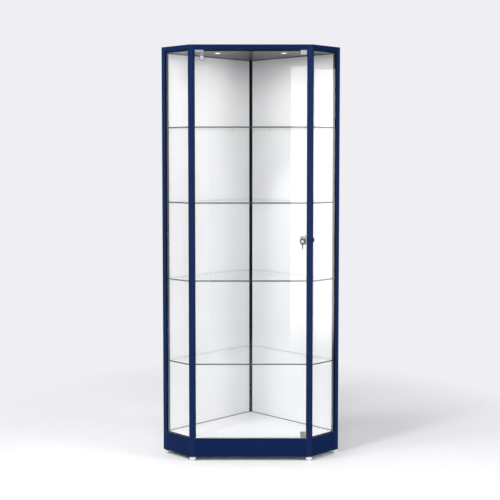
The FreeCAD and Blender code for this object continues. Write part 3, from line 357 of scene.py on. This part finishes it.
def spun(profile, closed=False, steps=48):
    """A round shape: points of radius and height in millimetres, turned about the upright axis."""
    shape = bmesh.new()
    points = [shape.verts.new((radius * MM, 0, height * MM)) for radius, height in profile]
    pairs = list(zip(points, points[1:]))
    if closed:
        pairs.append((points[-1], points[0]))
    edges = [shape.edges.new(pair) for pair in pairs]
    bmesh.ops.spin(
        shape, geom=points + edges, cent=(0, 0, 0), axis=(0, 0, 1), angle=math.tau, steps=steps,
        use_merge=True,
    )
    bmesh.ops.remove_doubles(shape, verts=shape.verts, dist=POLE_GAP * MM)
    return shape


def facing_front(shape):
    """Lays a round shape's axis along the depth, its heights towards the viewer."""
    quarter = Matrix.Rotation(math.radians(90), 3, "X")
    bmesh.ops.rotate(shape, verts=shape.verts, cent=(0, 0, 0), matrix=quarter)
    return shape


def moved(shape, place):
    """Moves a shape."""
    bmesh.ops.translate(shape, verts=shape.verts, vec=place)
    return shape


def joined(shapes):
    """Several shapes as one."""
    whole = bmesh.new()
    for shape in shapes:
        data = bpy.data.meshes.new("part")
        shape.to_mesh(data)
        shape.free()
        whole.from_mesh(data)
        bpy.data.meshes.remove(data)
    return whole


def finished(shape, name, body, slot, replaced=(), finish=None, more_finishes=(), corner=ROUND_CORNER):
    """Makes a piece of the shape: smooth but for its corners, on a body, in the finish of its slot."""
    bmesh.ops.recalc_face_normals(shape, faces=shape.faces)
    data = bpy.data.meshes.new(name)
    shape.to_mesh(data)
    shape.free()
    data.shade_smooth()
    data.set_sharp_from_angle(angle=math.radians(corner))
    for material in (finish or FINISHES[slot], *more_finishes):
        data.materials.append(material)
    piece = bpy.data.objects.new(name, data)
    bpy.context.scene.collection.objects.link(piece)
    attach(piece, body)
    if replaced:
        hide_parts(*replaced)


# Panes and shelves: a clear face and a polished grey-green edge, lighter where it faces a wall as painted
# light

# A face that leans further than this from the pane's own direction is an edge, and an edge that faces the
# rear by more than this takes the pale copy, a painted light
FACE_SHARE = 0.98
REAR_SHARE = 0.3


def pane(node, body, name, flat_axis):
    """A pane of glass from its node, with arrised edges of their own finish."""
    shape = eased(merged_copy(node), width=0.6)
    for face in shape.faces:
        if abs(face.normal.dot(flat_axis)) < FACE_SHARE:
            face.material_index = 2 if face.normal.y > REAR_SHARE else 1
    finished(
        shape, name, body, slots[node], replaced=[node], more_finishes=(polished_edge, rear_edge_painted_light),
        corner=FLAT_CORNER,
    )


for level in (1, 2, 3, 4):
    pane(f"glass_shelf_{level}", "cabinet", f"shelf_pane_{level}", Vector((0, 0, 1)))
pane("door_glass", "door", "door_pane", Vector((0, 1, 0)))


# Sheets and fittings, with edges softened as their tools leave them: the easing's width and the piece

EASED_NODES = {
    "top_cover": (0.5, "top_sheet"),
    "plinth_front": (0.6, "front_kick_panel"),
    "plinth_side_left": (0.6, "left_kick_panel"),
    "plinth_side_right": (0.6, "right_kick_panel"),
    "plinth_back_left": (0.6, "back_left_kick_panel"),
    "plinth_back_right": (0.6, "back_right_kick_panel"),
    "side_glass_gaskets": (0.5, "pane_gaskets"),
    "magnetic_catches": (0.8, "magnet_catches"),
    "strike_clips": (0.3, "folded_strike_clips"),
    "hinge_top_shoe": (0.3, "upper_pivot_shoe"),
    "lock_plug": (0.2, "turning_plug"),
    "lock_cam": (0.3, "latch_cam"),
    "lock_back_plate": (0.4, "backing_plate"),
    "lock_ring_nut": (0.5, "clamp_nut"),
    "key": (0.4, "key_in_plug"),
    "power_inlet": (0.3, "supply_socket"),
}
EASED_FINISHES = {"hinge_top_shoe": painted_zinc, "lock_back_plate": nylon, "lock_ring_nut": nylon}

node_bodies = {}
for body, held in frame["record"]["behaviour"]["bodies"].items():
    for node in held:
        node_bodies[node] = body
for node, (width, name) in EASED_NODES.items():
    finished(
        eased(merged_copy(node), width), name, node_bodies[node], slots[node], replaced=[node],
        finish=EASED_FINISHES.get(node),
        corner=SHEET_CORNER if slots[node] == "navy_paint" else FLAT_CORNER,
    )
finished(
    eased(merged_copy("hinge_bottom_shoe"), width=0.3), "lower_pivot_shoe", "door", "white_plastic",
    replaced=["hinge_bottom_shoe"], corner=FLAT_CORNER,
)


# Door seals: the top lip stands further over the glass than its solid, the lock side's lip less far

TOP_LIP_REACH = 2.4
LOCK_LIP_TAKEN_BACK = 2.0
LOCK_LIP_X = 263.0

seals = merged_copy("door_seals")
for vert in seals.verts:
    if abs(vert.co.x / MM - LOCK_LIP_X) < LEVEL_ZONE:
        vert.co.x += LOCK_LIP_TAKEN_BACK * MM
    if abs(vert.co.z / MM - CEILING_BOTTOM) < LEVEL_ZONE:
        vert.co.z -= TOP_LIP_REACH * MM
finished(
    eased(seals, width=0.8), "bulb_seals", "cabinet", "black_rubber", replaced=["door_seals"],
    corner=FLAT_CORNER,
)


# Corner trim: broad enough to cover both joints of the back panels

TRIM_SPREAD = 1.28

trim = merged_copy("rear_corner_trim")
trim_back = max(vert.co.y for vert in trim.verts)
for vert in trim.verts:
    vert.co.x *= TRIM_SPREAD
    vert.co.y = trim_back - (trim_back - vert.co.y) * TRIM_SPREAD
finished(
    eased(trim, width=0.5), "back_corner_trim", "cabinet", "black_plastic", replaced=["rear_corner_trim"],
    corner=FLAT_CORNER,
)


# Sealant beads round the deck and the ceiling, along both walls

BEAD_WIDTH = 2.6
# How far the middle of the bead's hollow face stands off the wall and the board
BEAD_MIDDLE = BEAD_WIDTH * 0.35
BEAD_START = 28.0
TRIM_ROOM = 7.0
BEAD_END = WALL_SIDE - WALL_DEPTH - TRIM_ROOM


def wall_place(side, along, inward, z):
    """A point by its distance along a wall from the outer post and inwards from the wall's plane."""
    x = OUTER_X - (along + inward) * DIAGONAL_SHARE
    y = OUTER_Y + (along - inward) * DIAGONAL_SHARE
    return at(side * x, y, z)


def bead(side, level, rise):
    """A hollow fillet of sealant in the corner of a wall and a board."""
    section = (
        (WALL_DEPTH, level),
        (WALL_DEPTH + BEAD_WIDTH, level),
        (WALL_DEPTH + BEAD_MIDDLE, level + rise * BEAD_MIDDLE),
        (WALL_DEPTH, level + rise * BEAD_WIDTH),
    )
    shape = bmesh.new()
    corners = [shape.verts.new(wall_place(side, BEAD_START, inward, z)) for inward, z in section]
    drawn = bmesh.ops.extrude_face_region(shape, geom=[shape.faces.new(corners)])["geom"]
    far_end = [part for part in drawn if isinstance(part, bmesh.types.BMVert)]
    travel = wall_place(side, BEAD_END, 0, 0) - wall_place(side, BEAD_START, 0, 0)
    bmesh.ops.translate(shape, verts=far_end, vec=travel)
    return shape


BEAD_LEVELS = ((DECK_TOP, 1), (CEILING_BOTTOM, -1))
beads = [bead(side, level, rise) for side in (-1, 1) for level, rise in BEAD_LEVELS]
finished(joined(beads), "sealant_beads", "cabinet", "black_rubber", finish=sealant)


# Upper hinge clamp: a domed cap with a hexagon socket on a grey washer, and its bolt through the glass

SOCKET_RADIUS = 3.0
WASHER_PROFILE = [(4.2, 0), (13.4, 0), (13.7, 0.4), (13.3, 1), (4.2, 1)]
CAP_PROFILE = [
    (0, 2.6), (SOCKET_RADIUS, 2.6), (SOCKET_RADIUS, 4.6), (3.5, 5.0), (7.6, 4.8), (7.9, 4.4), (8.3, 4.7),
    (10.4, 4.3), (11.2, 3.7), (11.5, 2.8), (11.5, 1.05), (4, 1.05), (4, -7.9), (0, -7.9),
]
HEXAGON_HALF = math.radians(30)
SOCKET_ZONE = 0.1

cap_face = at(CAP_PLACE[0], DOOR_FRONT, CAP_PLACE[1])
finished(
    moved(facing_front(spun(WASHER_PROFILE, closed=True)), cap_face), "upper_clamp_washer", "door",
    "black_rubber", finish=grey_nylon,
)
cap = spun(CAP_PROFILE)
# The socket's round wall is drawn in to the six flats of a hexagon
for vert in cap.verts:
    if abs(Vector(vert.co[:2]).length / MM - SOCKET_RADIUS) < SOCKET_ZONE:
        turn = math.atan2(vert.co.y, vert.co.x) % (2 * HEXAGON_HALF) - HEXAGON_HALF
        flat = math.cos(HEXAGON_HALF) / math.cos(turn)
        vert.co.x *= flat
        vert.co.y *= flat
finished(
    moved(facing_front(cap), cap_face), "upper_clamp_cap", "door", "chrome", replaced=["hinge_top_cap"],
    finish=nickel,
)


# Lock: a case whose side next to the post is painted darker as painted shade, with a raised ring round the
# plug

PAINTED_SHADE_FROM = 254.5
ROSETTE_PROFILE = [(8.3, -0.2), (8.3, 0.9), (8.7, 1.2), (9.4, 1.0), (9.9, 0.4), (10.0, -0.2)]

case = eased(merged_copy("lock_case"), width=0.2)
bmesh.ops.bisect_plane(
    case, geom=case.verts[:] + case.edges[:] + case.faces[:], plane_co=at(PAINTED_SHADE_FROM, 0, 0),
    plane_no=(1, 0, 0),
)
# Faces past the cut take the darker metal, as painted shade
for face in case.faces:
    face.material_index = 1 if face.calc_center_median().x > PAINTED_SHADE_FROM * MM else 0
finished(
    case, "lock_housing", "door", "chrome", replaced=["lock_case"], more_finishes=[zinc_painted_shade],
    corner=FLAT_CORNER,
)
lock_face = at(LOCK_PLACE[0], CASE_FRONT, LOCK_PLACE[1])
rosette = moved(facing_front(spun(ROSETTE_PROFILE, closed=True)), lock_face)
finished(rosette, "plug_rosette", "door", "chrome")


# Split ring: nearly two turns of a flat wire, side by side

RING_RADIUS = 11.4
WIRE_RADIUS = 0.58
WIRE_FLATNESS = 4.4
WIRE_SIDES = 12
WIRE_TURNS = 1.86
WIRE_STEPS = 96
WIRE_CORNER = 60

coil = bmesh.new()
wire = bmesh.ops.create_circle(coil, segments=WIRE_SIDES, radius=WIRE_RADIUS * MM)["verts"]
bmesh.ops.scale(coil, verts=wire, vec=(WIRE_FLATNESS, 1, 1))
coil_width = WIRE_RADIUS * 2 * WIRE_TURNS * MM
bmesh.ops.translate(coil, verts=wire, vec=(RING_RADIUS * MM, -coil_width / 2, 0))
bmesh.ops.spin(
    coil, geom=coil.verts[:] + coil.edges[:], cent=(0, 0, 0), axis=(0, 1, 0),
    dvec=(0, coil_width / WIRE_STEPS, 0), angle=math.tau * WIRE_TURNS, steps=WIRE_STEPS,
)
bmesh.ops.holes_fill(coil, edges=[edge for edge in coil.edges if edge.is_boundary], sides=0)
# The ring is darkened as painted shade
finished(
    moved(coil, at(*RING_PLACE)), "split_ring", "ring", "steel", replaced=["key_ring"],
    finish=steel_painted_shade, corner=WIRE_CORNER,
)


# Spare key on the ring: as thick as a key, its head and blade darkened as painted shade

KEY_THICKENING = 1.8

hanging = merged_copy("spare_key")
key_middle = LOCK_PLACE[0] * MM
for vert in hanging.verts:
    vert.co.x = key_middle + (vert.co.x - key_middle) * KEY_THICKENING
finished(
    eased(hanging, width=0.4), "hanging_key", "spare", "steel", replaced=["spare_key"], finish=steel_painted_shade,
    corner=FLAT_CORNER,
)


# Keeper: its tab ends a little behind the post

TAB_TAKEN_BACK = 7.6
TAB_ROUND_REACH = 7.9

keeper = merged_copy("lock_keeper")
tab_end = max(vert.co.x for vert in keeper.verts)
for vert in keeper.verts:
    if vert.co.x > tab_end - TAB_ROUND_REACH * MM:
        vert.co.x -= TAB_TAKEN_BACK * MM
        vert.co.y -= TAB_TAKEN_BACK * MM
finished(
    eased(keeper, width=0.4), "latch_keeper", "cabinet", "black_steel", replaced=["lock_keeper"],
    corner=FLAT_CORNER,
)


# Levelling feet: a white glide with a rounded sole, a hexagon nut and a threaded stem

GLIDE_PROFILE = [
    (0, 0), (5.0, 0), (8.6, 1.1), (11.6, 3.2), (13.8, 6.2), (15.0, 9.8), (15.2, 12.8), (14.6, 15.0),
    (13.2, 16.0), (9.0, 16.2), (0, 16.2),
]
NUT_RADIUS = 7.5
STEM_RADIUS = 3.9
THREAD_PITCH = 1.25
THREAD_ROOT = STEM_RADIUS - 0.5
STEM_BOTTOM = 12.0
NUT_TOP = 19.7
STEM_TOP = 41.5


def levelling_foot(place):
    """One foot in two pieces, both on the foot's own body."""
    node = "foot_" + place
    low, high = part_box(node)
    centre = Vector(((low.x + high.x) / 2, (low.y + high.y) / 2, 0))
    glide = moved(spun(GLIDE_PROFILE, steps=40), centre)
    finished(glide, place + "_glide", node, "white_plastic", finish=nylon)
    ridges = [(0, STEM_BOTTOM), (THREAD_ROOT, STEM_BOTTOM)]
    level = NUT_TOP
    while level < STEM_TOP:
        ridges += [(THREAD_ROOT, level), (STEM_RADIUS, level + THREAD_PITCH / 2)]
        level += THREAD_PITCH
    ridges += [(THREAD_ROOT, level), (0, level)]
    stem = spun(ridges, steps=20)
    nut = bmesh.new()
    bmesh.ops.create_cone(
        nut, cap_ends=True, segments=6, radius1=NUT_RADIUS * MM, radius2=NUT_RADIUS * MM,
        depth=(NUT_TOP - STEM_BOTTOM) * MM,
    )
    eased(nut, width=0.5)
    moved(nut, (0, 0, (NUT_TOP + STEM_BOTTOM) / 2 * MM))
    finished(moved(joined([stem, nut]), centre), place + "_stem", node, "steel", replaced=[node])


for place in ("front_left", "front_right", "outer_left", "outer_right", "rear"):
    levelling_foot(place)


# Downlights: a stepped bezel and a lens of shallow rings

BEZEL_PROFILE = [
    (13.1, -2.1), (13.9, -2.4), (15.0, -2.3), (15.4, -1.9), (16.2, -1.7), (16.6, -0.9), (17.0, -0.05),
    (15.5, -0.05), (15.5, 9.8), (14.6, 9.8), (14.6, -0.4), (13.1, -0.4),
]
LENS_PROFILE = [
    (0, -2.1), (2.2, -1.95), (2.4, -2.2), (4.6, -2.0), (4.8, -2.25), (7.0, -2.0), (7.2, -2.2),
    (9.4, -1.9), (9.6, -2.1), (11.8, -1.8), (13.0, -1.5), (13.0, -0.4), (0, -0.4),
]

lamp_centres = [at(x, y, CEILING_BOTTOM) for x, y in LAMP_PLACES]
bezels = [moved(spun(BEZEL_PROFILE, closed=True), centre) for centre in lamp_centres]
lenses = [moved(spun(LENS_PROFILE, steps=36), centre) for centre in lamp_centres]
finished(joined(bezels), "lamp_bezels", "cabinet", "white_plastic", replaced=["downlight_bezels"])
finished(joined(lenses), "lamp_lenses", "cabinet", "lamp_lens", replaced=["downlight_lenses"])


# Floor: pale, fading out into the backdrop, further away in front than behind

# Ranges are written as a Map Range node's sockets: from, up to, and the two results
FLOOR_REACH = 14.0
FLOOR_SHIFT = (0, 0.55, 0)
FLOOR_STRETCH = (1, 0.62, 1)
FLOOR_FADE = {1: 1.1, 2: 2.0, 3: 0, 4: 1}

floor_mesh = bmesh.new()
bmesh.ops.create_circle(floor_mesh, cap_ends=True, segments=64, radius=FLOOR_REACH)
floor_data = bpy.data.meshes.new("studio_floor")
floor_mesh.to_mesh(floor_data)
floor = bpy.data.objects.new("studio_floor", floor_data)
bpy.context.scene.collection.objects.link(floor)
floor_material, floor_tree, floor_shader, floor_place = start_finish("pale_studio_floor", Roughness=0.7)
floor_shader.inputs["Base Color"].default_value = linear("F6F6F8")
oval = add(floor_tree, "Mapping", {"Vector": floor_place, "Location": FLOOR_SHIFT, "Scale": FLOOR_STRETCH})
far = add(floor_tree, "VectorMath", {0: oval.outputs[0]}, operation="LENGTH").outputs["Value"]
fade = add(floor_tree, "MapRange", {0: far, **FLOOR_FADE}).outputs[0]
floor_clear = add(floor_tree, "BsdfTransparent").outputs[0]
floor_mix = add(floor_tree, "MixShader", {0: fade, 1: floor_shader.outputs[0], 2: floor_clear})
floor_tree.links.new(floor_mix.outputs[0], floor_tree.nodes["Material Output"].inputs["Surface"])
floor_data.materials.append(floor_material)
# The door mirrors a dark studio, so mirrored rays leave the floor out
floor.visible_glossy = False


# World: a pale backdrop for the eye, an even light for the object, and a studio for its gloss

AMBIENT_LEVEL = 0.42
# Gloss sees a dark studio straight ahead of the door and to its right, and pale walls elsewhere.
# These ranges turn a direction's shares along the depth and to the right into a level.
DARK_AHEAD = {1: -0.94, 2: -0.75, 3: 0.08, 4: 0.7}
DARK_ASIDE = {1: 0.1, 2: 0.7, 3: 0.7, 4: 0.2}

world = bpy.data.worlds.new("studio_world")
world.use_nodes = True
bpy.context.scene.world = world
sky = world.node_tree
rays = add(sky, "LightPath").outputs
direct = add(sky, "Math", {0: rays["Is Camera Ray"], 1: rays["Is Glossy Ray"]}, operation="MAXIMUM")
seen = add(sky, "Math", {0: direct.outputs[0], 1: rays["Is Transmission Ray"]}, operation="MAXIMUM")
# Light that glass bends counts as glossy too, so the depth of gloss tells what is really mirrored
mirrored = add(sky, "Math", {0: rays["Glossy Depth"], 1: 1}, operation="MINIMUM").outputs[0]
facing = add(sky, "SeparateXYZ", {0: add(sky, "TexCoord").outputs["Generated"]})
ahead = add(sky, "MapRange", {0: facing.outputs[1], **DARK_AHEAD}).outputs[0]
aside = add(sky, "MapRange", {0: facing.outputs[0], **DARK_ASIDE}).outputs[0]
gloss = add(sky, "Math", {0: ahead, 1: aside}, operation="MINIMUM").outputs[0]
backdrop_level = add(sky, "Mix", {0: mirrored, 2: 1.0, 3: gloss}).outputs[0]
backdrop = add(sky, "Background", {"Color": linear("EFEEF3"), "Strength": backdrop_level})
ambient = sky.nodes["Background"]
ambient.inputs["Color"].default_value = linear("FCFCFF")
ambient.inputs["Strength"].default_value = AMBIENT_LEVEL
sky_mix = add(sky, "MixShader", {0: seen.outputs[0], 1: ambient.outputs[0], 2: backdrop.outputs[0]})
sky.links.new(sky_mix.outputs[0], sky.nodes["World Output"].inputs["Surface"])


# Lamps: softboxes that face the cabinet's middle, and the beams of its two downlights

LAMP_TARGET = Vector((0, 0, 0.9))
# Name, side in metres, watts, azimuth, elevation, distance and whether gloss shows it.
# Azimuth 0 is behind the camera, 90 to its right.
LAMPS = (
    ("front_low", 2.0, 28, 0, 4, 5.8, False),
    ("front_soft", 2.0, 72, 0, 25, 5.5, False),
    ("left_side", 1.5, 84, -65, 25, 4.5, False),
    ("left_key", 0.3, 6, -28, 50, 4.5, False),
    ("high_key", 0.4, 65, -37, 56, 4.5, True),
    ("right_side", 1.5, 82, 65, 10, 4.5, False),
)
BEAM_SIZE = 0.024
BEAM_POWER = 0.5
BEAM_DROP = 6


def placed_lamp(name, light, place, glossy):
    """Puts a lamp into the scene, unseen by the camera and through glass, and seen in gloss only where
    asked.
    """
    holder = bpy.data.objects.new(name, light)
    holder.location = place
    holder.visible_camera = False
    holder.visible_glossy = glossy
    holder.visible_transmission = False
    bpy.context.scene.collection.objects.link(holder)
    return holder


for name, side, power, azimuth, elevation, distance, glossy in LAMPS:
    light = bpy.data.lights.new(name, "AREA")
    light.size = side
    light.energy = power
    turn, rise = math.radians(azimuth), math.radians(elevation)
    back = Vector((math.sin(turn) * math.cos(rise), -math.cos(turn) * math.cos(rise), math.sin(rise)))
    softbox = placed_lamp(name, light, LAMP_TARGET + back * distance, glossy)
    softbox.rotation_euler = (-back).to_track_quat("-Z", "Y").to_euler()

for x, y in LAMP_PLACES:
    light = bpy.data.lights.new("downlight_beam", "AREA")
    light.shape = "DISK"
    light.size = BEAM_SIZE
    light.energy = BEAM_POWER
    light.color = linear("FFFCF6")[:3]
    placed_lamp("downlight_beam", light, at(x, y, CEILING_BOTTOM - BEAM_DROP), False)


# Glowing cards that only reflections see: the bright upright bands in the door and the right side pane

CARD_FADE = {1: 0.05, 2: 0.3, 3: 0, 4: 1}
# Name, the two ends on the floor plan, bottom, top and level, in metres
CARDS = (
    ("right_window", (0.29, -3.0), (0.9, -3.0), 0.05, 2.107, 4.5),
    ("left_window", (-0.9, -3.0), (-0.305, -3.0), 0.05, 2.107, 1.2),
    ("side_window", (3, -0.09), (3, 0.068), 0, 2.084, 4.0),
)


def card(name, start, end, bottom, top, level):
    """An upright card that fades in above its foot."""
    shape = bmesh.new()
    corners = ((*start, bottom), (*end, bottom), (*end, top), (*start, top))
    shape.faces.new([shape.verts.new(corner) for corner in corners])
    data = bpy.data.meshes.new(name)
    shape.to_mesh(data)
    holder = bpy.data.objects.new(name, data)
    bpy.context.scene.collection.objects.link(holder)
    for ray in ("camera", "diffuse", "transmission", "shadow", "volume_scatter"):
        setattr(holder, "visible_" + ray, False)
    material = bpy.data.materials.new(name)
    material.use_nodes = True
    tree = material.node_tree
    tree.nodes.remove(tree.nodes["Principled BSDF"])
    height = add(tree, "SeparateXYZ", {0: add(tree, "TexCoord").outputs["Object"]}).outputs["Z"]
    shown = add(tree, "MapRange", {0: height, **CARD_FADE}).outputs[0]
    glow = add(tree, "Emission", {"Color": linear("FFFFFF"), "Strength": level}).outputs[0]
    clear = add(tree, "BsdfTransparent").outputs[0]
    mix = add(tree, "MixShader", {0: shown, 1: clear, 2: glow})
    tree.links.new(mix.outputs[0], tree.nodes["Material Output"].inputs["Surface"])
    data.materials.append(material)


for row in CARDS:
    card(*row)
